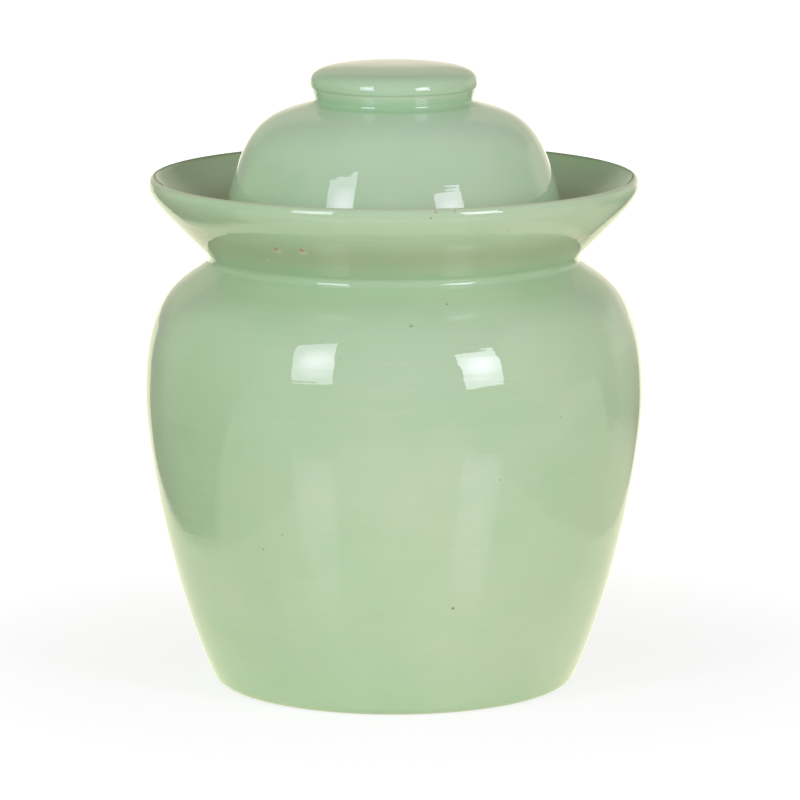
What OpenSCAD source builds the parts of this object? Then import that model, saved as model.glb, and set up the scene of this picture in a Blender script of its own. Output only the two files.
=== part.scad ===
// Water seal pickle jar in glazed stoneware.
// A round-bellied jar carries a flared trough around its neck. A domed lid stands on the
// trough's floor, and water in the trough shuts out the air while gas can still bubble out.
// The jar stands on z = 0 and its axis is the Z axis. Lengths are in millimetres.

/* [Jar body] */
// Widest diameter of the jar, at the belly line
belly_d = 205; // [195:1:220]
// Height of the belly line above the table
belly_h = 120; // [110:1:130]
// Height from the belly line up to the crease under the trough
shoulder_h = 57.3; // [52:0.1:64]
// Diameter of the standing face, out to where the foot corner begins
foot_d = 139.4; // [128:0.2:148]
// Radius of the rounded foot corner
foot_corner_r = 5.9; // [3:0.1:8]
// Lean of the wall where it leaves the foot corner, in degrees above level
foot_angle = 64.3; // [60:0.1:70]
// Lean of the shoulder where it runs into the crease, in degrees above level
shoulder_angle = 50; // [35:1:55]
// Thickness of the body wall
body_wall = 6.5; // [5:0.1:8]
// Thickness of the floor inside the foot ring
floor_t = 7; // [5:0.1:9]
// How far up the wall the inside corner of the floor reaches
floor_corner_h = 11; // [7:0.5:16]
// Width of the bare ring that the jar stands on
foot_ring_w = 9; // [6:0.5:14]
// Depth of the hollow inside the foot ring
foot_recess = 2.5; // [1:0.1:4]

/* [Curves of the body] */
// How long the wall keeps the lean of the foot before it bends
foot_pull = 35.2; // [25:0.1:45]
// How long the wall stays plumb below the belly line
belly_pull_down = 22; // [15:0.1:30]
// How long the wall stays plumb above the belly line
belly_pull_up = 49.1; // [42:0.1:52]
// How long the shoulder keeps its lean before the crease
shoulder_pull = 14.3; // [9:0.1:17]

/* [Neck] */
// Diameter of the mouth
mouth_d = 100; // [92:1:108]
// Thickness of the neck
neck_wall = 6.5; // [5:0.1:8]
// Height of the mouth above the lip of the trough
neck_above_lip = 3.4; // [0:0.1:6]
// Height that the shoulder still gains under the trough, from the crease to the neck
neck_seat_rise = 4.2; // [3:0.1:5.5]
// Thickness of the shoulder's edge around the mouth
shoulder_edge_t = 5; // [4:0.1:6.5]

/* [Water trough] */
// Height from the crease to the top of the lip
trough_h = 33.4; // [30:0.1:38]
// How far the lip stands out past the crease
trough_flare = 25.4; // [21:0.1:30]
// Lean of the trough's wall above the crease, in degrees above level
trough_angle = 46.7; // [42:0.1:52]
// Lean of the trough's wall at the lip, in degrees above level
lip_angle = 84.6; // [75:0.1:88]
// How long the wall keeps its lean above the crease
trough_pull = 20; // [12:0.1:23]
// How long the wall keeps its lean below the lip
lip_pull = 6.3; // [3:0.1:9]
// Thickness of the trough's wall where it meets the floor
trough_wall = 5.6; // [4.6:0.1:6.6]
// Thickness of the rounded lip
lip_t = 3.6; // [3:0.1:5]
// Height of the trough's floor above the crease
trough_floor_h = 8.2; // [7.5:0.1:9.5]
// How far up the wall the trough's inside corner reaches
trough_corner_h = 2; // [1.5:0.1:4]
// Distance from the lid's rim out to the level of the crease
water_gap = 3.8; // [3:0.1:6]

/* [Lid] */
// Distance from the neck to the inside of the lid's rim
lid_gap = 9.8; // [8:0.1:12]
// Thickness of the lid's wall
lid_wall = 5; // [4:0.1:5.5]
// Height of the lid's crown above the mouth
lid_headroom = 27.4; // [24:0.1:32]
// Lean of the lid's flank at its rim, in degrees off plumb
lid_flank_angle = 9; // [6:0.1:11]
// Fall of the lid's crown where it meets the knob, in degrees
lid_crown_angle = 19.7; // [12:0.1:25]
// How long the flank keeps its lean above the rim
lid_flank_pull = 53; // [44:0.5:58]
// How long the crown keeps its fall around the knob
lid_crown_pull = 18.5; // [12:0.1:22]
// Size of the rounding on the lid's rim
lid_rim_round = 1.5; // [0.8:0.1:1.9]

/* [Knob] */
// Widest diameter of the knob
knob_d = 68.6; // [60:0.2:76]
// Height of the band under the knob's groove
knob_band_h = 4.4; // [3.5:0.1:6]
// How far the groove lies inside the knob's widest line
knob_groove_in = 1.1; // [0.6:0.1:2]
// How far the foot of the band lies inside the knob's widest line
knob_foot_in = 2.4; // [2:0.1:4]
// Height from the groove to the knob's widest line
knob_roll_h = 3.1; // [2:0.1:4.5]
// Height from the knob's widest line to its top
knob_crown_h = 7.9; // [6.5:0.1:10]
// How long the knob's edge stays plumb above its widest line
knob_edge_pull = 6.2; // [4:0.1:6.4]
// How far out from its centre the knob's top stays level
knob_top_pull = 26.7; // [20:0.1:28]
// Thickness of the hollow knob's wall
knob_wall = 4.9; // [4:0.1:5.5]

/* [Hidden] */
$fn = 180;

// Points along a long curve, and along a rounded corner
curve_steps = 40;
corner_steps = 8;
// Share of a corner's side at which a curve's handle stands, for a near circular rounding
round_share = 0.5523;
// Share of the step out to the knob's widest line that the roll takes level, then plumb
roll_level = 0.9;
roll_plumb = 0.6;
// How long the shoulder's underside keeps each of its two leans
ceiling_pull = [6, 8];

// Points nearer than this to each other are one point
same_point = 0.001;

celadon = "#a9c8a5";
celadon_light = "#b4cfb0";
celadon_deep = "#9cbb92";

belly_r = belly_d / 2;
foot_r = foot_d / 2;
mouth_r = mouth_d / 2;
neck_r = mouth_r + neck_wall;
lid_plumb_wall = lid_wall / cos(lid_flank_angle);
lid_r = neck_r + lid_gap + lid_plumb_wall;
crease_r = lid_r + water_gap;
lip_round = lip_t / 2;

crease_z = belly_h + shoulder_h;
lip_top = crease_z + trough_h;
trough_floor_z = crease_z + trough_floor_h;
neck_seat_z = crease_z + neck_seat_rise;
mouth_z = lip_top + neck_above_lip;
crown_z = mouth_z + lid_headroom;

belly = [belly_r, belly_h];
crease = [crease_r, crease_z];
neck_foot = [neck_r, neck_seat_z];

knob_r = knob_d / 2;
knob_foot = [knob_r - knob_foot_in, crown_z];
knob_groove = [knob_r - knob_groove_in, crown_z + knob_band_h];
knob_widest = [knob_r, knob_groove.y + knob_roll_h];
knob_top = [0, knob_widest.y + knob_crown_h];
knob_hollow_r = knob_foot.x - knob_wall;
knob_hollow_top = knob_top.y - knob_wall;

// A step of a given length in a direction, in degrees above level; 180 points at the axis
function step(angle, length) = length * [cos(angle), sin(angle)];

// Point between two others
function between(a, b, share) = a + share * (b - a);

// Point and direction of a cubic curve with the four handles p
function curve_point(p, t) =
    pow(1 - t, 3) * p[0] + 3 * pow(1 - t, 2) * t * p[1] + 3 * (1 - t) * t * t * p[2] + pow(t, 3) * p[3];
function curve_slope(p, t) =
    pow(1 - t, 2) * (p[1] - p[0]) + 2 * (1 - t) * t * (p[2] - p[1]) + t * t * (p[3] - p[2]);

// The line of a wall, drawn upwards, moved towards the axis side by a thickness
// that runs from t_start to t_end
function wall_line(p, t_start = 0, t_end = 0, steps = curve_steps) = [
    for (i = [0:steps])
        let (t = i / steps, d = curve_slope(p, t), thickness = t_start + t * (t_end - t_start))
            curve_point(p, t) + thickness * [-d.y, d.x] / norm(d)
];

// A corner rounded off between the points a and b
function rounded(a, corner, b) =
    wall_line([a, between(a, corner, round_share), between(b, corner, round_share), b], steps = corner_steps);

// An arc about a centre
function arc(centre, r, from, to, steps = corner_steps) =
    [for (i = [0:steps]) centre + step(from + (to - from) * i / steps, r)];

// The section of a turned piece, with repeated points left out, spun round the jar's axis
module turned(points) {
    rotate_extrude()
        polygon([
            for (i = [0:len(points) - 1])
                if (i == 0 || norm(points[i] - points[i - 1]) > same_point) points[i]
        ]);
}

function above(points, z) = [for (p = points) if (p.y > z) p];
function backwards(points) = [for (i = [len(points) - 1:-1:0]) points[i]];

// The hollow corner between a level floor and a leaning wall, from the floor up to the wall's
// first point; wall is a line of points drawn upwards
function floor_corner(wall, floor_z) =
    let (
        start = wall[0],
        lean = atan2(wall[1].y - start.y, wall[1].x - start.x),
        r = (start.y - floor_z) / (1 - cos(lean))
    )
        arc([start.x - r * sin(lean), floor_z + r], r, -90, lean - 90);

// The handles of the body's two outer curves
foot_corner = [foot_r, foot_corner_r];
wall_foot = foot_corner + step(foot_angle - 90, foot_corner_r);
lower_curve = [
    wall_foot, wall_foot + step(foot_angle, foot_pull),
    belly - [0, belly_pull_down], belly
];
upper_curve = [
    belly, belly + [0, belly_pull_up],
    crease - step(180 - shoulder_angle, shoulder_pull), crease
];

// The handles of the trough's outer curve, which ends on the side of the round lip
lip_centre = [crease_r + trough_flare - lip_round, lip_top - lip_round];
lip_side = lip_centre + step(lip_angle - 90, lip_round);
trough_curve = [
    crease, crease + step(trough_angle, trough_pull),
    lip_side - step(lip_angle, lip_pull), lip_side
];

// The handles of the lid's outer curve, which starts above its rounded rim
lid_corner = [lid_r, trough_floor_z];
flank_lean = 90 + lid_flank_angle;
flank_foot = lid_corner + step(flank_lean, lid_rim_round);
crown_lean = 180 - lid_crown_angle;
lid_curve = [
    flank_foot, flank_foot + step(flank_lean, lid_flank_pull),
    knob_foot - step(crown_lean, lid_crown_pull), knob_foot
];

// Bowl-shaped lower half with the foot ring and the floor, up to the belly line
module lower_body() {
    recess_r = foot_r - foot_ring_w;
    floor_top = foot_recess + floor_t;
    inner = above(wall_line(lower_curve, body_wall, body_wall), floor_top + floor_corner_h);
    color(celadon)
        turned(concat(
            [[0, foot_recess], [recess_r - foot_recess, foot_recess], [recess_r, 0]],
            arc(foot_corner, foot_corner_r, -90, foot_angle - 90),
            wall_line(lower_curve),
            backwards(inner),
            backwards(floor_corner(inner, floor_top)),
            [[0, floor_top]]
        ));
}

// Upper half from the belly line to the crease, closing in under the trough to the mouth
module upper_body() {
    inner = wall_line(upper_curve, body_wall, body_wall);
    inner_top = inner[len(inner) - 1];
    mouth_edge = [mouth_r, neck_seat_z - shoulder_edge_t];
    seat_lean = 180 - atan2(neck_seat_rise, crease_r - neck_r);
    ceiling = [
        inner_top, inner_top + step(180 - shoulder_angle, ceiling_pull[0]),
        mouth_edge - step(seat_lean, ceiling_pull[1]), mouth_edge
    ];
    color(celadon)
        turned(concat(
            wall_line(upper_curve),
            [neck_foot, [mouth_r, neck_seat_z]],
            backwards(wall_line(ceiling, steps = corner_steps)),
            backwards(inner)
        ));
}

// Collar of the mouth, which stands up inside the trough
module neck_collar() {
    round_r = neck_wall / 2;
    color(celadon_deep)
        turned(concat(
            [[mouth_r, neck_seat_z], neck_foot],
            arc([mouth_r + round_r, mouth_z - round_r], round_r, 0, 180, 2 * corner_steps)
        ));
}

// Flared wall and floor of the trough, seated on the shoulder around the neck
module water_trough() {
    inner = above(wall_line(trough_curve, trough_wall, lip_t), trough_floor_z + trough_corner_h);
    color(celadon_light)
        turned(concat(
            wall_line(trough_curve),
            arc(lip_centre, lip_round, lip_angle - 90, lip_angle + 90, 2 * corner_steps),
            backwards(inner),
            backwards(floor_corner(inner, trough_floor_z)),
            [[neck_r, trough_floor_z], neck_foot]
        ));
}

// Dome of the lid, standing on the trough's floor, open at the crown into the hollow knob
module lid_bowl() {
    rim_inside = lid_corner - [lid_plumb_wall, 0];
    inner = above(wall_line(lid_curve, lid_wall, lid_wall), trough_floor_z + lid_rim_round);
    inner_top = inner[len(inner) - 1];
    crown_edge = [knob_hollow_r, crown_z];
    crown_pull = lid_wall / 2;
    crown_turn = [
        inner_top, inner_top + step(crown_lean, crown_pull),
        crown_edge - [0, crown_pull], crown_edge
    ];
    color(celadon)
        turned(concat(
            rounded(lid_corner - [lid_rim_round, 0], lid_corner, flank_foot),
            wall_line(lid_curve),
            backwards(wall_line(crown_turn, steps = corner_steps)),
            backwards(inner),
            rounded(inner[0], rim_inside, rim_inside + [lid_rim_round, 0])
        ));
}

// Flat-topped hollow knob with a groove around its side
module lid_knob() {
    out = knob_widest - knob_groove;
    roll = [
        knob_groove, knob_groove + [roll_level * out.x, 0],
        knob_widest - [0, roll_plumb * out.y], knob_widest
    ];
    pillow = [
        knob_widest, knob_widest + [0, knob_edge_pull],
        knob_top + [knob_top_pull, 0], knob_top
    ];
    hollow_corner = [knob_hollow_r, knob_hollow_top];
    color(celadon_light)
        turned(concat(
            [knob_foot],
            wall_line(roll, steps = corner_steps),
            wall_line(pillow),
            [[0, knob_hollow_top]],
            rounded(hollow_corner - [2 * knob_wall, 0], hollow_corner, hollow_corner - [0, knob_wall]),
            [[knob_hollow_r, crown_z]]
        ));
}

lower_body();
upper_body();
neck_collar();
water_trough();
lid_bowl();
lid_knob();
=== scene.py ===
"""Water seal pickle jar in celadon-glazed stoneware, dressed over its CAD frame.

Every piece is turned as on a potter's wheel: its section is drawn as a chain of edges and
spun round the jar's axis. Lengths in the settings are millimetres, and the scene is in metres.
"""

import math

import bpy
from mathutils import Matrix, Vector


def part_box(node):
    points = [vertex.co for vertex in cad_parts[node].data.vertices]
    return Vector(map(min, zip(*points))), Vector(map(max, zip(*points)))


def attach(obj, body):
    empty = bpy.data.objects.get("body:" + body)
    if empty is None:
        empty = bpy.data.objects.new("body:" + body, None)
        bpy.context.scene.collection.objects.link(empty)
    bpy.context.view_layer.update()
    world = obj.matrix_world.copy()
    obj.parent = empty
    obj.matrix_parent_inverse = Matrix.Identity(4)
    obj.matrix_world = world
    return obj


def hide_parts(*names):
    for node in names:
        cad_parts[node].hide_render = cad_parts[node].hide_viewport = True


bl_info = {
    "name": "Water Seal Pickle Jar",
    "version": (1, 0, 0),
    "blender": (4, 5, 0),
    "location": "View3D > Sidebar > Jar",
    "description": "Turns the clay sections of a water seal jar and glazes them",
    "category": "Add Mesh",
}

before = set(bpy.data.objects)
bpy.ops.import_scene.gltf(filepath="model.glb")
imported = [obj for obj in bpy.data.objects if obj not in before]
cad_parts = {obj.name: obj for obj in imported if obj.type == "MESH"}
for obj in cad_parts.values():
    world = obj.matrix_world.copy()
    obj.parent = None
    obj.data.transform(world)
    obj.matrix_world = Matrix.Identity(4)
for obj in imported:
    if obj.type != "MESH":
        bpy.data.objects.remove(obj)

MM = 0.001
GLAZE = "celadon_over_stoneware"
BARE_CLAY = "bare_stoneware"
IMAGE_SIDE = 800

# Rows of faces along a long curve and a corner, and round the jar
CURVE_ROWS = 90
INSIDE_ROWS = 36
CORNER_ROWS = 10
TURN_FACES = 192
# Share by which the rows crowd towards the two ends of a long curve, where pieces meet
CROWDING = 0.9
# Points nearer than this to each other are one point, in metres
SAME_POINT = 1e-6
# Angle between faces past which an edge stays sharp, in degrees
SHARP_ANGLE = 35
# Share of a corner's side at which a curve's handle stands, for a near circular rounding
ROUND_SHARE = 0.5523
# How much further out the crease is than the lid's rim
WATER_GAP = 3.8
# Height to which the clay is bare above the face that a piece was fired on
BARE_FOOT = 0.45
# How long the shoulder's underside keeps each of its two leans
CEILING_PULL = (6, 8)
# Shares of the knob's roll, from the groove to the widest line, that run straight out, then plumb
KNOB_ROLL = (0.45, 0.6)
# Crowding of the rows over the knob's top
KNOB_CROWDING = 0.5

GLAZE_IOR = 1.55
GLAZE_ROUGHNESS = 0.0
CLAY_ROUGHNESS = 0.85
# Lumps of a surface: size in millimetres, stretch along X, Y and Z, detail, the span of the noise,
# and the amount, which is a share of a colour or a height in metres
GLAZE_CLOUDS = (60, (1, 1, 1), 2, (0.45, 0.8), 0.3)
GLAZE_DRIFTS = (22, (1, 1, 1), 3, (0.5, 0.85), 0.25)
GLAZE_LINES = (1.1, (70, 70, 1), 3, (0.5, 0.8), 0.16)
GLAZE_SWELLS = (16, (1, 1, 1), 2, (0, 1), 0.12 * MM)
THROWING_RIDGES = (2.2, (18, 18, 1), 1, (0, 1), 0.05 * MM)
CLAY_GRIT = (0.8, (1, 1, 1), 4, (0.4, 0.75), 0.5)
CLAY_TOOTH = (0.8, (1, 1, 1), 4, (0, 1), 0.05 * MM)
# Specks: width of a cell, size of a speck, share of the cells that hold one, and the amount
IRON_SPECKS = (11, 0.7, 0.12, 0.7)
PALE_SPECKS = (6, 0.6, 0.2, 0.5)
CLAY_GROG = (3, 0.4, 0.2, 0.6)
# The lid's own glaze: the point on the axis, the reach round it and the amount, which fades past 1
LID_GLAZE = ((0, 215, 0), 84, 3)
# Where the glaze pools or runs thin round the jar, and painted shade in the crease, round the feet of the
# knob,
# lid and neck and down in the trough: a point of the outline, the distance from it out and up, the reach,
# the amount and the name of the colour
GLAZE_RINGS = (
    # Crease: pooled glaze with painted shade
    ("crease", (0, 0), 8, 0.3, "glaze_deep"),
    ("knob_foot", (-11.9, 12.4), 26, 3, "glaze_thick"),
    # Knob's foot: pooled glaze with painted shade
    ("knob_foot", (0, 0), 4.5, 0.8, "glaze_deep"),
    # Down in the trough: painted shade, then pooled glaze with painted shade at the lid's foot
    ("lid_corner", (10, 8), 15, 0.6, "glaze_olive"),
    ("lid_corner", (3, 0), 8, 0.7, "glaze_deep"),
    # Neck's foot: pooled glaze with painted shade
    ("neck_foot", (0, 4), 6, 0.6, "glaze_deep"),
    ("lip_crown", (0, 0), 1.8, 0.4, "glaze_edge"),
    ("mouth", (3, 0), 3, 0.6, "glaze_edge"),
    ("knob_groove", (0.4, 0.6), 1.3, 0.5, "glaze_light"),
    ("lid_corner", (0, 0), 2.2, 0.7, "glaze_edge"),
    ("foot_edge", (0, 0), 1.6, 0.9, "glaze_edge"),
)
# Flaws of this jar: centre, reach, depth, share and the name of the colour that shows. The dark spot at
# the lower right of each of the first two pinholes is painted shadow in the pit
PITS = (
    ((-46.2, -75.0, 190.0), 3.2, 0.0, 0.9, "pit_rim"),
    ((-46.9, -75.0, 191.4), 1.9, 0.2, 0.9, "pit"),
    # Painted shadow in the pit's lower right side
    ((-44.6, -75.0, 189.2), 0.8, 0.1, 0.8, "iron"),
    ((-36.3, -80.8, 190.3), 3.1, 0.0, 0.9, "pit_rim"),
    ((-36.6, -80.9, 191.6), 1.9, 0.2, 0.9, "pit"),
    # Painted shadow in the pit's lower right side
    ((-34.9, -80.6, 189.3), 0.7, 0.1, 0.6, "iron"),
    ((-50.2, -66.0, 185.3), 1.6, 0.0, 0.7, "pit_rim"),
    ((-47.6, -67.6, 185.4), 1.3, 0.05, 0.6, "pit_rim"),
    ((16.7, -99.1, 209.6), 1.1, 0.05, 0.9, "pit"),
    ((24.2, -97.5, 209.8), 1.0, 0.05, 0.9, "pit"),
    ((14.7, -99.2, 207.2), 0.8, 0.0, 0.7, "iron"),
    ((23.7, -87.0, 47.4), 1.0, 0.05, 0.9, "iron"),
    ((21.2, -81.4, 170.1), 0.8, 0.0, 0.7, "iron"),
    ((6.9, -92.0, 162.9), 1.0, 0.0, 0.6, "iron"),
    ((-52.3, -79.9, 70.1), 0.8, 0.0, 0.5, "iron"),
    ((-44.7, -86.0, 77.2), 0.9, 0.0, 0.4, "iron"),
    ((42.4, -91.5, 100.7), 0.8, 0.0, 0.6, "pit"),
)


def top_of(node):
    """Height of the top of a CAD node, in millimetres."""
    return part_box(node)[1].z / MM


def foot_of(node):
    """Height of the underside of a CAD node, in millimetres."""
    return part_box(node)[0].z / MM


def radius_of(node):
    """Widest radius of a CAD node, in millimetres."""
    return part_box(node)[1].x / MM


def linear(hex_colour):
    """An sRGB colour such as '#a9c8a5' as linear red, green and blue."""
    channels = [int(hex_colour[i : i + 2], 16) / 255 for i in (1, 3, 5)]
    return tuple(c / 12.92 if c <= 0.04045 else ((c + 0.055) / 1.055) ** 2.4 for c in channels)


def size(name, default, description, low, high):
    """A length of the jar as a property, in millimetres."""
    return bpy.props.FloatProperty(
        name=name, description=description, default=default, min=low, max=high, unit="NONE"
    )


def angle(name, default, description, low, high):
    """A lean of a wall as a property, kept in radians and shown in degrees."""
    return bpy.props.FloatProperty(
        name=name,
        description=description,
        default=math.radians(default),
        min=math.radians(low),
        max=math.radians(high),
        subtype="ANGLE",
    )


def colour(name, hex_colour, description):
    """A finish's colour as a property."""
    return bpy.props.FloatVectorProperty(
        name=name, description=description, default=linear(hex_colour), size=3,
        min=0, max=1, subtype="COLOR",
    )


class JarSizes(bpy.types.PropertyGroup):
    """Sizes of the jar that its clay sections are turned to, in millimetres."""

    foot_r: size("Foot", 69.7, "Radius of the standing face, out to the foot corner", 60, 76)
    foot_corner_r: size("Foot corner", 5.9, "Radius of the rounded foot corner", 3, 8)
    foot_angle: angle("Foot lean", 64.3, "Lean of the wall above the foot corner", 55, 75)
    foot_pull: size("Foot pull", 35.2, "How long the wall keeps the lean of the foot", 20, 50)
    belly_pull_down: size("Belly down", 22, "How long the wall stays plumb below the belly", 12, 32)
    belly_pull_up: size("Belly up", 49.1, "How long the wall stays plumb above the belly", 40, 54)
    shoulder_pull: size("Shoulder pull", 14.3, "How long the shoulder keeps its lean", 8, 18)
    shoulder_angle: angle("Shoulder lean", 50, "Lean of the shoulder below the crease", 35, 60)
    body_wall: size("Body wall", 6.5, "Thickness of the body wall", 5, 8)
    floor_t: size("Floor", 7, "Thickness of the floor", 5, 9)
    floor_corner_h: size("Floor corner", 11, "Height of the inside corner of the floor", 7, 16)
    foot_ring_w: size("Foot ring", 9, "Width of the bare ring that the jar stands on", 6, 14)
    foot_recess: size("Foot recess", 2.5, "Depth of the hollow inside the foot ring", 1, 4)
    ring_edge_r: size("Ring edge", 0.8, "Rounding of the bare ring's inner edge", 0.2, 1.5)
    neck_wall: size("Neck wall", 6.5, "Thickness of the neck", 5, 8)
    shoulder_edge_t: size("Shoulder edge", 5, "Thickness of the shoulder at the mouth", 4, 6.5)
    crease_round: size("Crease round", 2.8, "Reach of the glaze that rounds off the crease", 0.5, 4)
    trough_angle: angle("Trough lean", 46.7, "Lean of the trough's wall above the crease", 40, 55)
    trough_pull: size("Trough pull", 20, "How long the wall keeps its lean", 10, 24)
    trough_wall: size("Trough wall", 5.6, "Thickness of the trough's wall at its foot", 4, 7)
    trough_corner_h: size("Trough corner", 2, "Height of the trough's inside corner", 1, 4)
    lip_angle: angle("Lip lean", 84.6, "Lean of the trough's wall at the lip", 75, 89)
    lip_pull: size("Lip pull", 6.3, "How long the wall keeps its lean below the lip", 3, 9)
    lip_t: size("Lip", 3.6, "Thickness of the rounded lip", 3, 5)
    lip_h: size("Lip height", 3, "Height over which the lip's outside is rounded", 1.8, 4)
    lip_inside_h: size("Lip inside", 10, "Height over which the lip's inside is rounded", 3, 12)
    lid_wall: size("Lid wall", 5, "Thickness of the lid's wall", 4, 6)
    lid_flank_angle: angle("Flank lean", 9, "Lean of the lid's flank off plumb", 5, 12)
    lid_flank_pull: size("Flank pull", 53, "How long the flank keeps its lean", 40, 60)
    lid_crown_angle: angle("Crown fall", 19.7, "Fall of the lid's crown at the knob", 12, 26)
    lid_crown_pull: size("Crown pull", 18.5, "How long the crown keeps its fall", 10, 24)
    lid_rim_round: size("Rim round", 1.5, "Size of the rounding on the lid's rim", 0.5, 2)
    knob_band_h: size("Knob band", 4.4, "Height of the band under the knob's groove", 3, 6)
    knob_groove_in: size("Groove", 1.1, "How far the groove lies inside the widest line", 0.5, 2)
    knob_foot_in: size("Band foot", 2.4, "How far the band's foot lies inside the widest line", 2, 4)
    knob_foot_round: size("Band round", 2, "Reach of the glaze round the band's foot", 0.4, 2.5)
    knob_groove_round: size("Groove round", 0.8, "Reach of the glaze in the groove", 0.2, 0.9)
    knob_roll_h: size("Knob roll", 3.1, "Height from the groove to the widest line", 2, 5)
    knob_edge_pull: size("Knob edge", 6.8, "How long the knob's edge stays plumb", 4, 7.5)
    knob_top_pull: size("Knob top", 26.7, "How far out the knob's top stays level", 18, 28)
    knob_wall: size("Knob wall", 4.9, "Thickness of the hollow knob's wall", 4, 6)


class GlazeColours(bpy.types.PropertyGroup):
    """Colours of the finishes, as they look under plain white light; the olive, the deeper celadon and the
    iron are also laid on as painted shade in the trough, the creases and two pinholes.
    """

    glaze: colour("Celadon", "#aecca3", "Glaze at its usual thickness")
    glaze_cool: colour("Cool celadon", "#b8d9b5", "Glaze on the lid, a touch cooler than on the jar")
    glaze_thick: colour("Thick celadon", "#b0d0a8", "Glaze that lies thick on the knob")
    # Painted shade: a dark olive for the shade down in the trough, between the lid and the trough's wall
    glaze_olive: colour("Olive celadon", "#959a64", "Glaze down in the trough, where it looks olive")
    glaze_light: colour("Thin celadon", "#ccd8b6", "Glaze where it has run thin over an edge")
    # Deeper celadon: the glaze's own random drifts, and in the crease and round the feet of the knob, lid
    # and neck partly pooled glaze, partly painted shade
    glaze_deep: colour("Pooled celadon", "#93c18f", "Glaze where it has pooled in a crease")
    glaze_edge: colour("Glaze edge", "#c9bfa4", "Glaze so thin on a rim that the clay tints it")
    clay: colour("Bare clay", "#d3c3a6", "Fired stoneware where the glaze was wiped off")
    clay_dark: colour("Clay grit", "#a8967a", "Coarser grit in the stoneware")
    pit: colour("Pit", "#ad8468", "Clay that shows through a pinhole in the glaze")
    pit_rim: colour("Pit rim", "#c8cfa4", "Thin glaze that drew back round a pinhole")
    # The iron colour is also painted as the shadow in two pinholes
    iron: colour("Iron speck", "#5d5a3c", "Speck of iron that melted into the glaze")


class StudioSettings(bpy.types.PropertyGroup):
    """Lights, floor and camera of the plain studio."""

    left_level: bpy.props.FloatProperty(
        name="Left softbox", description="Radiance of the left softbox", default=4.7, min=0, max=40
    )
    right_level: bpy.props.FloatProperty(
        name="Right softbox", description="Radiance of the right softbox", default=6.4, min=0, max=40
    )
    softbox_colour: colour("Softboxes", "#ede8ff", "Colour of the softboxes' light")
    room_colour: colour("Room", "#aa9ea2", "Radiance of the room's walls")
    floor_reach: bpy.props.FloatProperty(
        name="Floor reach", description="Half the side of the floor", default=6, min=1, unit="LENGTH"
    )
    floor_colour: colour("Floor", "#f4f3ec", "Colour of the white table top")
    floor_white: bpy.props.FloatProperty(
        name="Floor white", description="White that the camera sees of a full shadow at the jar's foot",
        default=0.76, min=0, max=1, subtype="FACTOR",
    )
    floor_shade: bpy.props.FloatProperty(
        name="Floor shade", description="How much the light on the floor adds for the camera",
        default=0.3, min=0, max=1, subtype="FACTOR",
    )
    floor_bounce: bpy.props.FloatProperty(
        name="Floor bounce", description="Share of the floor's glow that also lights the jar",
        default=0.2, min=0, max=1, subtype="FACTOR",
    )
    floor_glow: colour("Floor glow", "#cbcbaa", "Light of the table top that the glaze alone reflects")
    front_floor: bpy.props.FloatProperty(
        name="Front floor", description="Brightness of the floor before the table, against the table",
        default=0.7, min=0, max=1, subtype="FACTOR",
    )


def step(lean, length):
    """A step of a given length in a direction above level; half a turn points at the axis."""
    return Vector((length * math.cos(lean), length * math.sin(lean)))


def curve_point(p, t):
    """Point on the cubic curve with the four handles p."""
    s = 1 - t
    return s**3 * p[0] + 3 * s * s * t * p[1] + 3 * s * t * t * p[2] + t**3 * p[3]


def curve_slope(p, t):
    """Direction of the cubic curve with the four handles p."""
    s = 1 - t
    return (s * s * (p[1] - p[0]) + 2 * s * t * (p[2] - p[1]) + t * t * (p[3] - p[2])).normalized()


def wall_line(p, inward=(0, 0), rows=CURVE_ROWS, start=0, end=1, crowding=CROWDING):
    """The line of a wall, drawn upwards, moved towards the axis side by a thickness that runs
    between the two values of inward. Its rows crowd towards both ends."""
    points = []
    for i in range(rows + 1):
        share = i / rows - crowding * math.sin(2 * math.pi * i / rows) / (2 * math.pi)
        t = start + (end - start) * share
        d = curve_slope(p, t)
        points.append(curve_point(p, t) + (inward[0] + t * (inward[1] - inward[0])) * Vector((-d.y, d.x)))
    return points


def rounded(a, corner, b, rows=CORNER_ROWS, start=0, end=1):
    """A corner rounded off between the points a and b, or a share of that rounding."""
    handles = [a, a.lerp(corner, ROUND_SHARE), b.lerp(corner, ROUND_SHARE), b]
    return wall_line(handles, rows=rows, start=start, end=end, crowding=0)


def arc(centre, r, lean_from, lean_to, rows=CORNER_ROWS):
    """An arc about a centre."""
    return [centre + step(lean_from + (lean_to - lean_from) * i / rows, r) for i in range(rows + 1)]


def above(points, z):
    """The points of a line that lie above a height."""
    return [p for p in points if p.y > z]


def floor_corner(wall, floor_z):
    """The hollow corner between a level floor and a leaning wall, from the floor upwards."""
    start = wall[0]
    way = wall[1] - start
    lean = math.atan2(way.y, way.x)
    r = (start.y - floor_z) / (1 - math.cos(lean))
    centre = Vector((start.x - r * math.sin(lean), floor_z + r))
    return arc(centre, r, -math.pi / 2, lean - math.pi / 2)


def end_share(p, reach):
    """Share of a curve that a reach from one of its two straight ends covers."""
    return reach / (3 * (p[1] - p[0]).length), reach / (3 * (p[3] - p[2]).length)


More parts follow.
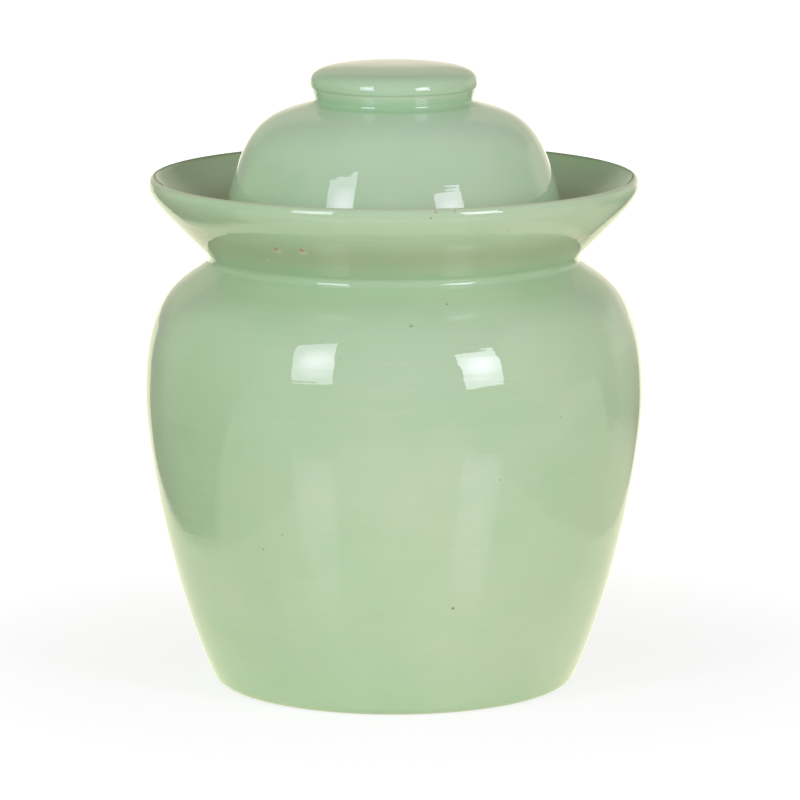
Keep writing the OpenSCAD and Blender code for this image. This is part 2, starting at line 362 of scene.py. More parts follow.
class Outline:
    """The handles and points that the sections share, in millimetres, r and z."""

    def __init__(self, s):
        self.belly = Vector((radius_of("lower_body"), top_of("lower_body")))
        self.crease_z = foot_of("water_trough")
        self.trough_r = radius_of("water_trough")
        self.lip_top = top_of("water_trough")
        self.lid_r = radius_of("lid_bowl")
        self.trough_floor_z = foot_of("lid_bowl")
        self.neck_seat_z = top_of("upper_body")
        self.neck_r = radius_of("neck_collar")
        self.mouth_z = top_of("neck_collar")
        self.crown_z = top_of("lid_bowl")
        self.knob_r = radius_of("lid_knob")
        self.knob_top_z = top_of("lid_knob")
        self.mouth_r = self.neck_r - s.neck_wall
        self.mouth = Vector((self.mouth_r, self.mouth_z))
        self.neck_foot = Vector((self.neck_r, self.neck_seat_z))

        corner = Vector((s.foot_r, s.foot_corner_r))
        wall_foot = corner + step(s.foot_angle - math.pi / 2, s.foot_corner_r)
        self.foot_corner = corner
        self.foot_edge = Vector((s.foot_r, 0))
        self.lower = [
            wall_foot,
            wall_foot + step(s.foot_angle, s.foot_pull),
            self.belly - Vector((0, s.belly_pull_down)),
            self.belly,
        ]
        self.lip_round = Vector((s.lip_t / 2, s.lip_h))
        self.lip_centre = Vector((self.trough_r, self.lip_top)) - self.lip_round
        self.lip_crown = Vector((self.lip_centre.x, self.lip_top))
        self.lip_start = -math.atan(s.lip_h / self.lip_round.x / math.tan(s.lip_angle))
        lip_side = self.lip_edge([])[0]
        self.crease = Vector((self.lid_r + WATER_GAP, self.crease_z))
        self.upper = [
            self.belly,
            self.belly + Vector((0, s.belly_pull_up)),
            self.crease - step(math.pi - s.shoulder_angle, s.shoulder_pull),
            self.crease,
        ]
        self.trough = [
            self.crease,
            self.crease + step(s.trough_angle, s.trough_pull),
            lip_side - step(s.lip_angle, s.lip_pull),
            lip_side,
        ]
        self.lid_corner = Vector((self.lid_r, self.trough_floor_z))
        flank_lean = math.pi / 2 + s.lid_flank_angle
        self.crown_lean = math.pi - s.lid_crown_angle
        self.flank_foot = self.lid_corner + step(flank_lean, s.lid_rim_round)
        self.knob_foot = Vector((self.knob_r - s.knob_foot_in, self.crown_z))
        self.lid = [
            self.flank_foot,
            self.flank_foot + step(flank_lean, s.lid_flank_pull),
            self.knob_foot - step(self.crown_lean, s.lid_crown_pull),
            self.knob_foot,
        ]
        self.knob_groove = Vector((self.knob_r - s.knob_groove_in, self.crown_z + s.knob_band_h))
        self.knob_widest = Vector((self.knob_r, self.knob_groove.y + s.knob_roll_h))
        self.knob_hollow_r = self.knob_foot.x - s.knob_wall

    def lip_edge(self, inner):
        """The lip: a quarter of an oval up to its top, then a long rounding down to the inner wall.
        Without an inner wall, only its outside."""
        turn = arc(Vector((0, 0)), 1, self.lip_start, math.pi / 2, 2 * CORNER_ROWS)
        outside = [
            self.lip_centre + Vector((p.x * self.lip_round.x, p.y * self.lip_round.y)) for p in turn
        ]
        if not inner:
            return outside
        rise = inner[-1] - inner[-2]
        corner = inner[-1] + rise * ((self.lip_top - inner[-1].y) / rise.y)
        return outside + rounded(outside[-1], corner, inner[-1], 2 * CORNER_ROWS)

    def crease_round(self, reach):
        """The two ends of the corner that glaze rounds off between the shoulder and the trough."""
        low = curve_point(self.upper, 1 - end_share(self.upper, reach)[1])
        high = curve_point(self.trough, end_share(self.trough, reach)[0])
        return low, high


def cut_section(section):
    """Adds a point where the section starts, and extrudes it from point to point."""
    first = section[0] * MM
    bpy.ops.object.select_all(action="DESELECT")
    bpy.ops.mesh.primitive_plane_add(size=MM, location=(first.x, 0, first.y))
    bpy.ops.object.mode_set(mode="EDIT")
    bpy.ops.mesh.merge(type="CENTER")
    here = first
    for point in section[1:]:
        there = point * MM
        if (there - here).length > SAME_POINT:
            move = (there.x - here.x, 0, there.y - here.y)
            bpy.ops.mesh.extrude_region_move(TRANSFORM_OT_translate={"value": move})
            here = there


def close_section():
    """Joins the two ends of the chain of edges."""
    bpy.ops.mesh.select_all(action="DESELECT")
    bpy.ops.object.mode_set(mode="OBJECT")
    mesh = bpy.context.object.data
    uses = [0] * len(mesh.vertices)
    for edge in mesh.edges:
        for vertex in edge.vertices:
            uses[vertex] += 1
    for vertex in mesh.vertices:
        vertex.select = uses[vertex.index] == 1
    bpy.ops.object.mode_set(mode="EDIT")
    bpy.ops.mesh.select_mode(type="VERT")
    bpy.ops.mesh.edge_face_add()


def turned(name, section, body, closed=True, bare_below=None):
    """Turns a section round the jar's axis and seats the piece on its body, in its node's place.
    Below a height in millimetres the clay is bare, as it stood on the kiln shelf."""
    cut_section(section)
    if closed:
        close_section()
    bpy.ops.mesh.select_all(action="SELECT")
    bpy.ops.mesh.spin(
        steps=TURN_FACES, angle=2 * math.pi, use_auto_merge=True, center=(0, 0, 0), axis=(0, 0, 1)
    )
    bpy.ops.mesh.select_all(action="SELECT")
    bpy.ops.mesh.remove_doubles(threshold=SAME_POINT)
    bpy.ops.mesh.normals_make_consistent(inside=False)
    bpy.ops.object.mode_set(mode="OBJECT")
    bpy.ops.object.transform_apply(location=True, rotation=True, scale=True)
    bpy.ops.object.shade_smooth_by_angle(angle=math.radians(SHARP_ANGLE))
    piece = bpy.context.object
    piece.name = name + "_glazed"
    piece.data.name = piece.name
    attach(piece, body)
    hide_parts(name)
    piece.data.materials.append(bpy.data.materials[GLAZE])
    if bare_below is not None:
        piece.data.materials.append(bpy.data.materials[BARE_CLAY])
        for face in piece.data.polygons:
            face.material_index = int(face.center.z < bare_below * MM)
    return piece


def shader_node(material, kind, settings=None, links=None):
    """Adds a node to a material. settings names properties, or inputs by name or number; links names
    the input and the output that feeds it, or the node whose first output does."""
    node = material.node_tree.nodes.new(kind)
    for key, value in (settings or {}).items():
        if isinstance(key, str) and hasattr(node, key):
            setattr(node, key, value)
        else:
            node.inputs[key].default_value = value
    for key, source in (links or {}).items():
        output = source.outputs[0] if isinstance(source, bpy.types.Node) else source
        material.node_tree.links.new(output, node.inputs[key])
    return node


class JAR_OT_finishes(bpy.types.Operator):
    """Mixes the celadon glaze and the bare clay"""

    bl_idname = "jar.finishes"
    bl_label = "Mix the Finishes"

    def execute(self, context):
        colours = context.scene.glaze_colours
        celadon_glaze(colours, Outline(context.scene.jar_sizes))
        bare_stoneware(colours)
        return {"FINISHED"}


def lumps(material, place, size_mm, stretch, detail, span, amount):
    """Soft random lumps of a real size, drawn out by a stretch along X, Y and Z. Where the noise
    passes through its span, the result rises from 0 to the amount."""
    scale = [1 / (size_mm * MM * times) for times in stretch]
    mapped = shader_node(material, "ShaderNodeMapping", {"Scale": scale}, {"Vector": place})
    noise = shader_node(
        material, "ShaderNodeTexNoise", {"Scale": 1, "Detail": detail}, {"Vector": mapped}
    )
    return shader_node(
        material,
        "ShaderNodeMapRange",
        {"From Min": span[0], "From Max": span[1], "To Max": amount},
        {"Value": noise},
    )


def round_spot(material, place, centre, reach, amount):
    """An amount at a point, which falls softly to 0 at a reach from it, in millimetres."""
    away = shader_node(
        material, "ShaderNodeVectorMath", {"operation": "DISTANCE", 1: Vector(centre) * MM}, {0: place}
    )
    return shader_node(
        material,
        "ShaderNodeMapRange",
        {"interpolation_type": "SMOOTHSTEP", "From Max": reach * MM, "To Min": amount, "To Max": 0},
        {"Value": away.outputs["Value"]},
    )


def specks(material, place, spacing, size_mm, share, amount):
    """Round specks of a real size, one in each of a share of cells that are a spacing wide."""
    cells = shader_node(
        material, "ShaderNodeTexVoronoi", {"Scale": 1 / (spacing * MM)}, {"Vector": place}
    )
    spot = shader_node(
        material,
        "ShaderNodeMapRange",
        {"From Max": size_mm / spacing / 2, "To Min": 2 * amount, "To Max": 0},
        {"Value": cells.outputs["Distance"]},
    )
    draw = shader_node(material, "ShaderNodeSeparateXYZ", {}, {0: cells.outputs["Color"]})
    chosen = shader_node(
        material, "ShaderNodeMath", {"operation": "LESS_THAN", 1: share}, {0: draw}
    )
    full = shader_node(material, "ShaderNodeMath", {"operation": "MULTIPLY"}, {0: spot, 1: chosen})
    return shader_node(material, "ShaderNodeMath", {"operation": "MINIMUM", 1: amount}, {0: full})


def layered(material, ground, layers):
    """Lays colours over a ground colour, each by the share that its source gives."""
    tone = shader_node(material, "ShaderNodeRGB")
    tone.outputs[0].default_value = (*ground, 1)
    for colour_on_top, share in layers:
        tone = shader_node(
            material, "ShaderNodeMixRGB", {"Color2": (*colour_on_top, 1)}, {"Color1": tone, "Fac": share}
        )
    return tone


def finish(material, tone, heights):
    """Gives the surface its colour, and raises it by the sum of the heights, in metres."""
    shader = material.node_tree.nodes["Principled BSDF"]
    height = heights[0]
    for more in heights[1:]:
        height = shader_node(material, "ShaderNodeMath", {"operation": "ADD"}, {0: height, 1: more})
    bump = shader_node(material, "ShaderNodeBump", {"Distance": 1.0}, {"Height": height})
    material.node_tree.links.new(tone.outputs[0], shader.inputs["Base Color"])
    material.node_tree.links.new(bump.outputs[0], shader.inputs["Normal"])


def celadon_glaze(colours, o):
    """Celadon: a glossy iron-tinted glaze over stoneware, poured and fired in reduction. The eye gets
    a soft grey green, deeper where the glaze pools in creases, with painted shade there, round the feet of
    the knob, lid and neck and down in the trough, paler where it runs thin over edges, faint throwing
    lines round the jar, a few iron specks and pinholes with painted shadow in two of them, and sharp
    reflections."""
    material = bpy.data.materials.new(GLAZE)
    material.use_nodes = True
    shader = material.node_tree.nodes["Principled BSDF"]
    shader.inputs["IOR"].default_value = GLAZE_IOR
    shader.inputs["Roughness"].default_value = GLAZE_ROUGHNESS
    place = shader_node(material, "ShaderNodeTexCoord").outputs["Object"]
    flat = shader_node(
        material, "ShaderNodeVectorMath", {"operation": "MULTIPLY", 1: (1, 1, 0)}, {0: place}
    )
    out = shader_node(material, "ShaderNodeVectorMath", {"operation": "LENGTH"}, {0: flat})
    parts = shader_node(material, "ShaderNodeSeparateXYZ", {}, {0: place})
    section = shader_node(
        material, "ShaderNodeCombineXYZ", {}, {0: out.outputs["Value"], 1: parts.outputs["Z"]}
    )
    layers = [
        (colours.glaze_cool, round_spot(material, section, *LID_GLAZE)),
        (colours.glaze_light, lumps(material, place, *GLAZE_CLOUDS)),
        (colours.glaze_deep, lumps(material, place, *GLAZE_DRIFTS)),
        (colours.glaze_light, lumps(material, place, *GLAZE_LINES)),
    ]
    # Rings of pooled and thin glaze, and painted shade in the crease, the corners and the trough
    for point, away, reach, amount, shade in GLAZE_RINGS:
        centre = getattr(o, point) + Vector(away)
        share = round_spot(material, section, (*centre, 0), reach, amount)
        layers.append((getattr(colours, shade), share))
    layers.append((colours.iron, specks(material, place, *IRON_SPECKS)))
    layers.append((colours.glaze_light, specks(material, place, *PALE_SPECKS)))
    heights = [
        lumps(material, place, *GLAZE_SWELLS),
        lumps(material, place, *THROWING_RIDGES),
    ]
    # Pinholes, with painted shadow in two of them
    for centre, reach, depth, amount, shade in PITS:
        layers.append((getattr(colours, shade), round_spot(material, place, centre, reach, amount)))
        if depth:
            heights.append(round_spot(material, place, centre, reach, -depth * MM))
    finish(material, layered(material, colours.glaze, layers), heights)


def bare_stoneware(colours):
    """Bare stoneware: fired clay that was wiped clean of glaze before firing, so that the piece
    doesn't stick to the kiln shelf. The eye gets a dry buff surface with fine grit and grog."""
    material = bpy.data.materials.new(BARE_CLAY)
    material.use_nodes = True
    shader = material.node_tree.nodes["Principled BSDF"]
    shader.inputs["Roughness"].default_value = CLAY_ROUGHNESS
    place = shader_node(material, "ShaderNodeTexCoord").outputs["Object"]
    layers = [
        (colours.clay_dark, lumps(material, place, *CLAY_GRIT)),
        (colours.iron, specks(material, place, *CLAY_GROG)),
    ]
    finish(material, layered(material, colours.clay, layers), [lumps(material, place, *CLAY_TOOTH)])


class JAR_OT_lower_body(bpy.types.Operator):
    """Turns the bowl-shaped lower half with its foot ring and floor"""

    bl_idname = "jar.lower_body"
    bl_label = "Lower Body"

    def execute(self, context):
        s = context.scene.jar_sizes
        o = Outline(s)
        recess_r = s.foot_r - s.foot_ring_w
        floor_top = s.foot_recess + s.floor_t
        inner = above(
            wall_line(o.lower, (s.body_wall, s.body_wall), INSIDE_ROWS), floor_top + s.floor_corner_h
        )
        ring_edge = Vector((recess_r, 0))
        turned(
            "lower_body",
            [
                Vector((0, s.foot_recess)),
                Vector((recess_r - s.foot_recess, s.foot_recess)),
                *rounded(
                    ring_edge + Vector((-s.ring_edge_r, s.ring_edge_r)),
                    ring_edge,
                    ring_edge + Vector((s.ring_edge_r, 0)),
                ),
                *arc(o.foot_corner, s.foot_corner_r, -math.pi / 2, s.foot_angle - math.pi / 2),
                *wall_line(o.lower),
                *reversed(inner),
                *reversed(floor_corner(inner, floor_top)),
                Vector((0, floor_top)),
            ],
            "jar",
            closed=False,
            bare_below=BARE_FOOT,
        )
        return {"FINISHED"}


class JAR_OT_upper_body(bpy.types.Operator):
    """Turns the upper half from the belly line to the crease and in to the mouth"""

    bl_idname = "jar.upper_body"
    bl_label = "Upper Body"

    def execute(self, context):
        s = context.scene.jar_sizes
        o = Outline(s)
        inner = wall_line(o.upper, (s.body_wall, s.body_wall), INSIDE_ROWS)
        mouth_edge = Vector((o.mouth_r, o.neck_seat_z - s.shoulder_edge_t))
        seat_lean = math.pi - math.atan2(o.neck_seat_z - o.crease_z, o.crease.x - o.neck_r)
        ceiling = [
            inner[-1],
            inner[-1] + step(math.pi - s.shoulder_angle, CEILING_PULL[0]),
            mouth_edge - step(seat_lean, CEILING_PULL[1]),
            mouth_edge,
        ]
        low, high = o.crease_round(s.crease_round)
        turned(
            "upper_body",
            [
                *wall_line(o.upper, end=1 - end_share(o.upper, s.crease_round)[1]),
                *rounded(low, o.crease, high, end=0.5),
                o.neck_foot,
                Vector((o.mouth_r, o.neck_seat_z)),
                *reversed(wall_line(ceiling, rows=CORNER_ROWS, crowding=0)),
                *reversed(inner),
            ],
            "jar",
        )
        return {"FINISHED"}


class JAR_OT_neck_collar(bpy.types.Operator):
    """Turns the collar of the mouth, which stands up inside the trough"""

    bl_idname = "jar.neck_collar"
    bl_label = "Neck Collar"

    def execute(self, context):
        s = context.scene.jar_sizes
        o = Outline(s)
        r = s.neck_wall / 2
        turned(
            "neck_collar",
            [
                Vector((o.mouth_r, o.neck_seat_z)),
                o.neck_foot,
                *arc(Vector((o.mouth_r + r, o.mouth_z - r)), r, 0, math.pi, 2 * CORNER_ROWS),
            ],
            "jar",
        )
        return {"FINISHED"}


class JAR_OT_water_trough(bpy.types.Operator):
    """Turns the flared wall, the lip and the floor of the water trough"""

    bl_idname = "jar.water_trough"
    bl_label = "Water Trough"

    def execute(self, context):
        s = context.scene.jar_sizes
        o = Outline(s)
        wall = wall_line(o.trough, (s.trough_wall, s.lip_t), INSIDE_ROWS)
        inner = [
            p for p in wall
            if o.trough_floor_z + s.trough_corner_h < p.y < o.lip_top - s.lip_inside_h
        ]
        low, high = o.crease_round(s.crease_round)
        turned(
            "water_trough",
            [
                *rounded(low, o.crease, high, start=0.5),
                *wall_line(o.trough, start=end_share(o.trough, s.crease_round)[0]),
                *o.lip_edge(inner),
                *reversed(inner),
                *reversed(floor_corner(inner, o.trough_floor_z)),
                Vector((o.neck_r, o.trough_floor_z)),
                o.neck_foot,
            ],
            "jar",
        )
        return {"FINISHED"}


class JAR_OT_lid_bowl(bpy.types.Operator):
    """Turns the dome of the lid, which stands on the trough's floor"""

    bl_idname = "jar.lid_bowl"
    bl_label = "Lid Bowl"

    def execute(self, context):
        s = context.scene.jar_sizes
        o = Outline(s)
        rim_inside = o.lid_corner - Vector((s.lid_wall / math.cos(s.lid_flank_angle), 0))
        inner = above(
            wall_line(o.lid, (s.lid_wall, s.lid_wall), INSIDE_ROWS), o.trough_floor_z + s.lid_rim_round
        )
        crown_edge = Vector((o.knob_hollow_r, o.crown_z))
        crown_pull = s.lid_wall / 2
        crown_turn = [
            inner[-1],
            inner[-1] + step(o.crown_lean, crown_pull),
            crown_edge - Vector((0, crown_pull)),
            crown_edge,
        ]
        turned(
            "lid_bowl",
            [
                *rounded(o.lid_corner - Vector((s.lid_rim_round, 0)), o.lid_corner, o.flank_foot),
                *wall_line(o.lid),
                *reversed(wall_line(crown_turn, rows=CORNER_ROWS, crowding=0)),
                *reversed(inner),
                *rounded(inner[0], rim_inside, rim_inside + Vector((s.lid_rim_round, 0))),
            ],
            "lid",
            bare_below=o.trough_floor_z + BARE_FOOT,
        )
        return {"FINISHED"}


class JAR_OT_lid_knob(bpy.types.Operator):
    """Turns the flat-topped hollow knob with the groove around its side"""

    bl_idname = "jar.lid_knob"
    bl_label = "Lid Knob"

    def execute(self, context):
        s = context.scene.jar_sizes
        o = Outline(s)
        out = o.knob_widest - o.knob_groove
        roll_foot = o.knob_groove + s.knob_groove_round * out.normalized()
        roll = [
            roll_foot,
            roll_foot.lerp(o.knob_widest, KNOB_ROLL[0]),
            o.knob_widest - Vector((0, KNOB_ROLL[1] * out.y)),
            o.knob_widest,
        ]
        band = (o.knob_groove - o.knob_foot).normalized()
        knob_top = Vector((0, o.knob_top_z))
        pillow = [
            o.knob_widest,
            o.knob_widest + Vector((0, s.knob_edge_pull)),
            knob_top + Vector((s.knob_top_pull, 0)),
            knob_top,
        ]
        hollow_top = o.knob_top_z - s.knob_wall
        corner = Vector((o.knob_hollow_r, hollow_top))
        turned(
            "lid_knob",
            [
                *rounded(
                    o.knob_foot - step(o.crown_lean, s.knob_foot_round), o.knob_foot,
                    o.knob_foot + s.knob_foot_round * band,
                ),
                *rounded(o.knob_groove - s.knob_groove_round * band, o.knob_groove, roll_foot),
                *wall_line(roll, rows=CORNER_ROWS, crowding=0),
                *wall_line(pillow, crowding=KNOB_CROWDING),
                Vector((0, hollow_top)),
                *rounded(corner - Vector((2 * s.knob_wall, 0)), corner, corner - Vector((0, s.knob_wall))),
                Vector((o.knob_hollow_r, o.crown_z)),
            ],
            "lid",
        )
        return {"FINISHED"}


class JAR_OT_studio(bpy.types.Operator):
    """Lays the pale floor and sets the softboxes, the room's light and the camera"""

    bl_idname = "jar.studio"
    bl_label = "Studio"

    def execute(self, context):
        settings = context.scene.studio_settings
        lay_floor(settings)
        light_room(settings)
        set_softboxes(settings)
        set_camera(context)
        context.scene.view_settings.view_transform = "Standard"
        return {"FINISHED"}


# The table stands a little askew, turned about Z by this angle in degrees
TABLE_TURN = -4.6
# Its edges along its own X and Y in metres: the axis, where the edge is, and which way is outside
TABLE_EDGES = (("X", -0.214, -1), ("X", 0.235, 1), ("Y", -0.60, -1))
EDGE_SOFTNESS = 0.02
# The table's top curves up into the backdrop, where the flat floor widens instead. Its width grows
# with Y, from 0 at the first of these values of Y to full at the second, and never falls under full
SWEEP = (-0.123, 0.36)
# The room's floor past the table is bright in front. Along axes that are turned about Z by this
# angle in degrees, it falls between these two values of Y to this brightness
DARK_TURN = -16.3
DARK_SPAN = (0.02, 0.05)
DARK_FLOOR = 0.12
# The lit floor past the table's right edge: centre and reach in millimetres, and brightness
RIGHT_FLOOR = ((280, 150, 0), 450, 0.75)
# Roughness of the table's glossy white top
LAMINATE_ROUGHNESS = 0.1
# The glow rises between these two values of Y, from the front to the jar, by these factors
GLOW_SPAN = (-0.50, -0.10)
GLOW = (0.2, 1.15)
# The jar's shadow fades from the camera's picture between these distances from the axis
SHADE_FROM = 0.10
SHADE_TO = 0.45


def turned_parts(material, place, turn):
    """X, Y and Z of a place along axes that are turned about Z by an angle in degrees."""
    mapped = shader_node(
        material, "ShaderNodeMapping", {"Rotation": (0, 0, math.radians(turn))}, {"Vector": place}
    )
    return shader_node(material, "ShaderNodeSeparateXYZ", {}, {0: mapped}).outputs


def lay_floor(settings):
    """A white table top, which keeps the jar's shadow. To the camera it glows nearly white, and the
    glaze sees it brighter than the lamps make it, with the dark room past its edges."""
    bpy.ops.object.select_all(action="DESELECT")
    bpy.ops.mesh.primitive_plane_add(size=2 * settings.floor_reach)
    floor = bpy.context.object
    floor.name = "studio_floor"
    material = bpy.data.materials.new("white_studio_board")
    material.use_nodes = True
    tree = material.node_tree
    tree.nodes.clear()
    output = shader_node(material, "ShaderNodeOutputMaterial")
    paths = shader_node(material, "ShaderNodeLightPath")
    place = shader_node(material, "ShaderNodeTexCoord").outputs["Object"]
    ahead = shader_node(material, "ShaderNodeSeparateXYZ", {}, {0: place}).outputs["Y"]
    widening = shader_node(
        material, "ShaderNodeMapRange",
        {"clamp": False, "From Min": SWEEP[0], "From Max": SWEEP[1]}, {"Value": ahead},
    )
    widened = shader_node(material, "ShaderNodeMath", {"operation": "MAXIMUM", 1: 1.0}, {0: widening})
    table_parts = turned_parts(material, place, TABLE_TURN)
    across = shader_node(
        material, "ShaderNodeMath", {"operation": "DIVIDE"}, {0: table_parts["X"], 1: widened}
    )
    along = {"X": across, "Y": table_parts["Y"]}
    table = None
    for axis, at, outside in TABLE_EDGES:
        edge = shader_node(
            material, "ShaderNodeMapRange",
            {
                "interpolation_type": "SMOOTHSTEP", "To Min": 1, "To Max": 0,
                "From Min": at - outside * EDGE_SOFTNESS, "From Max": at + outside * EDGE_SOFTNESS,
            },
            {"Value": along[axis]},
        )
        if table:
            edge = shader_node(
                material, "ShaderNodeMath", {"operation": "MULTIPLY"}, {0: table, 1: edge}
            )
        table = edge
    beyond = shader_node(
        material, "ShaderNodeMapRange",
        {
            "From Min": DARK_SPAN[0], "From Max": DARK_SPAN[1],
            "To Min": settings.front_floor, "To Max": DARK_FLOOR,
        },
        {"Value": turned_parts(material, place, DARK_TURN)["Y"]},
    )
    right = round_spot(material, place, *RIGHT_FLOOR)
    light = table
    for more in (beyond, right):
        light = shader_node(material, "ShaderNodeMath", {"operation": "MAXIMUM"}, {0: light, 1: more})
    colour = shader_node(
        material, "ShaderNodeMixRGB", {"Color1": (0, 0, 0, 1), "Color2": (*settings.floor_colour, 1)},
        {"Fac": light},
    )
    board = shader_node(material, "ShaderNodeBsdfDiffuse", {}, {"Color": colour})
    laminate = shader_node(
        material, "ShaderNodeBsdfPrincipled", {"Roughness": LAMINATE_ROUGHNESS}, {"Base Color": colour}
    )
    glow_colour = shader_node(
        material, "ShaderNodeMixRGB", {"Color1": (0, 0, 0, 1), "Color2": (*settings.floor_glow, 1)},
        {"Fac": light},
    )
    fading = shader_node(
        material, "ShaderNodeMapRange",
        {"From Min": GLOW_SPAN[0], "From Max": GLOW_SPAN[1], "To Min": GLOW[0], "To Max": GLOW[1]},
        {"Value": ahead},
    )
    glow = shader_node(
        material, "ShaderNodeEmission", {}, {"Color": glow_colour, "Strength": fading}
    )
    bounce = shader_node(
        material, "ShaderNodeEmission", {"Strength": settings.floor_bounce}, {"Color": glow_colour}
    )
    seen_in_glaze = shader_node(material, "ShaderNodeAddShader", {}, {0: laminate, 1: glow})
    seen_by_jar = shader_node(material, "ShaderNodeAddShader", {}, {0: board, 1: bounce})
    away = shader_node(material, "ShaderNodeVectorMath", {"operation": "LENGTH"}, {0: place})
    whiteness = shader_node(
        material, "ShaderNodeMapRange",
        {
            "interpolation_type": "SMOOTHSTEP", "From Min": SHADE_FROM, "From Max": SHADE_TO,
            "To Min": settings.floor_white, "To Max": 1,
        },
        {"Value": away.outputs["Value"]},
    )
    white = shader_node(material, "ShaderNodeEmission", {}, {"Strength": whiteness})
    lit = shader_node(
        material, "ShaderNodeBsdfDiffuse", {"Color": [settings.floor_shade] * 3 + [1]}
    )
    seen_by_camera = shader_node(material, "ShaderNodeAddShader", {}, {0: white, 1: lit})
    glossy = shader_node(
        material, "ShaderNodeMixShader", {},
        {0: paths.outputs["Is Glossy Ray"], 1: seen_by_jar, 2: seen_in_glaze},
    )
    seen = shader_node(
        material, "ShaderNodeMixShader", {},
        {0: paths.outputs["Is Camera Ray"], 1: glossy, 2: seen_by_camera},
    )
    tree.links.new(seen.outputs[0], output.inputs["Surface"])
    floor.data.materials.append(material)


# The room's lights by the direction from the jar, whose Y points away from the camera and whose Z
# points up: what a light is, where it starts and is full along each axis, its colour and strength
ROOM_LIGHTS = (
    ("backdrop", (("X", -0.6, 0), ("Y", 0.80, 0.93), ("Z", 0.22, 0.06)), "#fff7da", 0.74),
    ("wall above the backdrop", (("Y", 0.70, 0.90), ("Z", 0.06, 0.22)), "#f5ffc5", 0.34),
    ("wall behind the camera", (("Y", -0.80, -0.93),), "#f6deff", 0.26),
    ("left wall", (("X", -0.55, -0.85),), "#bcffad", 0.45),
    ("screen", (("X", 0.45, 0.60), ("Y", 0.50, 0.65), ("Z", 0.35, 0.20)), "#fff7df", 0.45),
    ("right wall", (("X", 0.55, 0.85),), "#ecffcb", 0.30),
)


def light_room(settings):
    """The room's light: dim, with a bright backdrop behind the jar and paler walls around. The
    camera itself sees plain white."""
    world = bpy.data.worlds.new("studio_room")
    bpy.context.scene.world = world
    world.use_nodes = True
    tree = world.node_tree
    tree.nodes.clear()
    output = shader_node(world, "ShaderNodeOutputWorld")
    paths = shader_node(world, "ShaderNodeLightPath")
    place = shader_node(world, "ShaderNodeTexCoord")
    parts = shader_node(world, "ShaderNodeSeparateXYZ", {}, {0: place.outputs["Generated"]})
    light = shader_node(world, "ShaderNodeRGB")
    light.outputs[0].default_value = (*settings.room_colour, 1)
    for name, spans, tint, strength in ROOM_LIGHTS:
        share = None
        for axis, start, full in spans:
            part = shader_node(
                world, "ShaderNodeMapRange",
                {"label": name, "interpolation_type": "SMOOTHSTEP", "From Min": start, "From Max": full},
                {"Value": parts.outputs[axis]},
            )
            if share:
                part = shader_node(
                    world, "ShaderNodeMath", {"operation": "MULTIPLY"}, {0: share, 1: part}
                )
            share = part
        radiance = [c * strength for c in linear(tint)]
        light = shader_node(
            world, "ShaderNodeMixRGB", {"blend_type": "ADD", "Color2": (*radiance, 1)},
            {"Color1": light, "Fac": share},
        )
    seen = shader_node(
        world, "ShaderNodeMixRGB", {"Color2": (1, 1, 1, 1)},
        {"Fac": paths.outputs["Is Camera Ray"], "Color1": light},
    )
    background = shader_node(world, "ShaderNodeBackground", {}, {"Color": seen})
    tree.links.new(background.outputs[0], output.inputs["Surface"])


# The softboxes: name, centre, width and height in metres, turns about X, Y and Z in degrees, and
# the spot of the panel that its lamp lights brightest, as shares of the panel
SOFTBOXES = (
    ("left", (-0.715, -0.861, 0.584), 0.541, 0.625, (78.6, 2.8, 3.7), (0.65, 0.42)),
    ("right", (0.616, -0.738, 0.424), 0.328, 0.424, (73.7, -2.7, 46.6), (0.5, 0.5)),
)
# How far the bright spot reaches, as a share of the panel, and how much brighter it is
BRIGHT_SPOT = (0.45, 1.15)
# How much of the distance across the panel counts, since its lamp is a lying tube
BRIGHT_WIDTH = 0.6


def set_softboxes(settings):
    """Two softboxes in front of the jar, left and right of the camera. A softbox is brightest where
    its lamp shines straight through the cloth."""
    for name, centre, width, height, turns, spot in SOFTBOXES:
        rotation = [math.radians(turn) for turn in turns]
        bpy.ops.object.light_add(type="AREA", location=centre, rotation=rotation)
        lamp = bpy.context.object
        lamp.name = "softbox_" + name
        lamp.visible_camera = False
        panel = lamp.data
        panel.shape = "RECTANGLE"
        panel.size = width
        panel.size_y = height
        panel.color = settings.softbox_colour
        panel.energy = getattr(settings, name + "_level") * math.pi * width * height
        panel.use_nodes = True
        where = shader_node(panel, "ShaderNodeNewGeometry")
        drawn_in = shader_node(
            panel, "ShaderNodeVectorMath", {"operation": "MULTIPLY", 1: (BRIGHT_WIDTH, 1, 1)},
            {0: where.outputs["Parametric"]},
        )
        away = shader_node(
            panel, "ShaderNodeVectorMath",
            {"operation": "DISTANCE", 1: (spot[0] * BRIGHT_WIDTH, spot[1], 0)}, {0: drawn_in},
        )
        glow = shader_node(
            panel, "ShaderNodeMapRange",
            {
                "interpolation_type": "SMOOTHSTEP", "From Max": BRIGHT_SPOT[0],
                "To Min": 1 + BRIGHT_SPOT[1], "To Max": 1,
            },
            {"Value": away.outputs["Value"]},
        )
        emission = panel.node_tree.nodes["Emission"]
        panel.node_tree.links.new(glow.outputs[0], emission.inputs["Strength"])


# The camera's place in metres, its fall below level in degrees, and its focal length in pixels
CAMERA_PLACE = (0.0025, -2.4, 0.5376)
CAMERA_FALL = 9.94
FOCAL_PIXELS = 5894


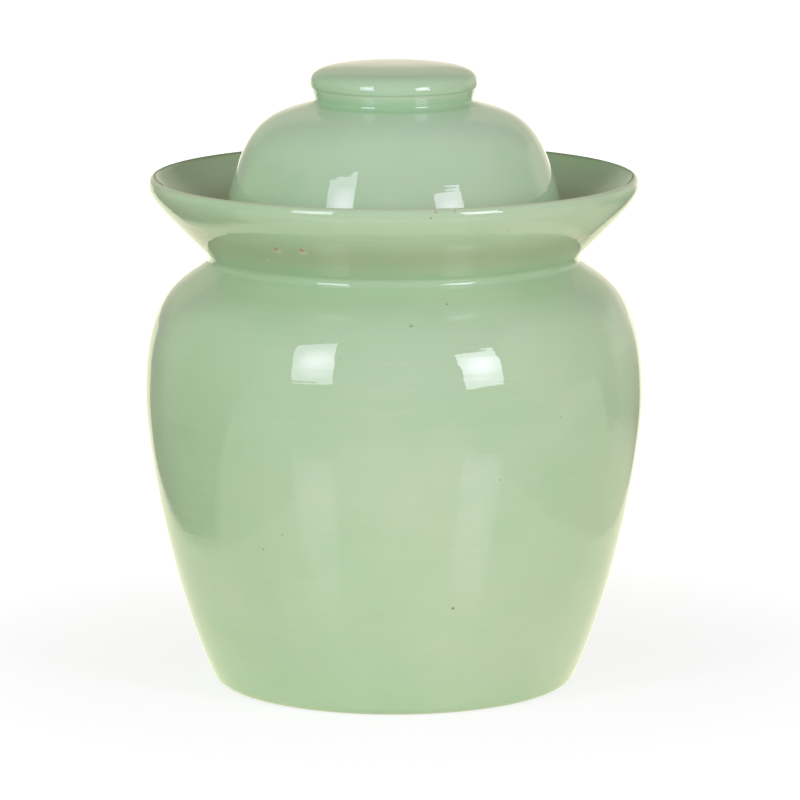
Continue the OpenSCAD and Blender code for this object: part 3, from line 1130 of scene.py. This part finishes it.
def set_camera(context):
    """A long lens at the photograph's viewing angle."""
    bpy.ops.object.camera_add(
        location=CAMERA_PLACE, rotation=(math.radians(90 - CAMERA_FALL), 0, 0)
    )
    camera = bpy.context.object
    camera.name = "studio_camera"
    camera.data.lens = FOCAL_PIXELS / IMAGE_SIDE * camera.data.sensor_width
    context.scene.camera = camera


class JAR_PT_sidebar(bpy.types.Panel):
    """Lists the jar's pieces and the studio in the sidebar"""

    bl_idname = "JAR_PT_sidebar"
    bl_label = "Water Seal Jar"
    bl_space_type = "VIEW_3D"
    bl_region_type = "UI"
    bl_category = "Jar"

    def draw(self, context):
        for operator in OPERATORS:
            self.layout.operator(operator.bl_idname)
        for settings in (
            context.scene.jar_sizes,
            context.scene.glaze_colours,
            context.scene.studio_settings,
        ):
            box = self.layout.box()
            for name in settings.__annotations__:
                box.prop(settings, name)


OPERATORS = (
    JAR_OT_finishes,
    JAR_OT_lower_body,
    JAR_OT_upper_body,
    JAR_OT_neck_collar,
    JAR_OT_water_trough,
    JAR_OT_lid_bowl,
    JAR_OT_lid_knob,
    JAR_OT_studio,
)
SETTINGS = {
    "jar_sizes": JarSizes,
    "glaze_colours": GlazeColours,
    "studio_settings": StudioSettings,
}


def register():
    """Adds the jar's settings, operators and panel to Blender."""
    for name, group in SETTINGS.items():
        bpy.utils.register_class(group)
        setattr(bpy.types.Scene, name, bpy.props.PointerProperty(type=group))
    for item in (*OPERATORS, JAR_PT_sidebar):
        bpy.utils.register_class(item)


def unregister():
    """Takes the jar's settings, operators and panel out of Blender."""
    for item in (JAR_PT_sidebar, *reversed(OPERATORS)):
        bpy.utils.unregister_class(item)
    for name, group in reversed(SETTINGS.items()):
        delattr(bpy.types.Scene, name)
        bpy.utils.unregister_class(group)


def main():
    """Turns the pieces in order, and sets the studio."""
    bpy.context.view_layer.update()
    register()
    bpy.ops.jar.finishes()
    bpy.ops.jar.lower_body()
    bpy.ops.jar.upper_body()
    bpy.ops.jar.neck_collar()
    bpy.ops.jar.water_trough()
    bpy.ops.jar.lid_bowl()
    bpy.ops.jar.lid_knob()
    bpy.ops.jar.studio()


if __name__ == "__main__":
    main()
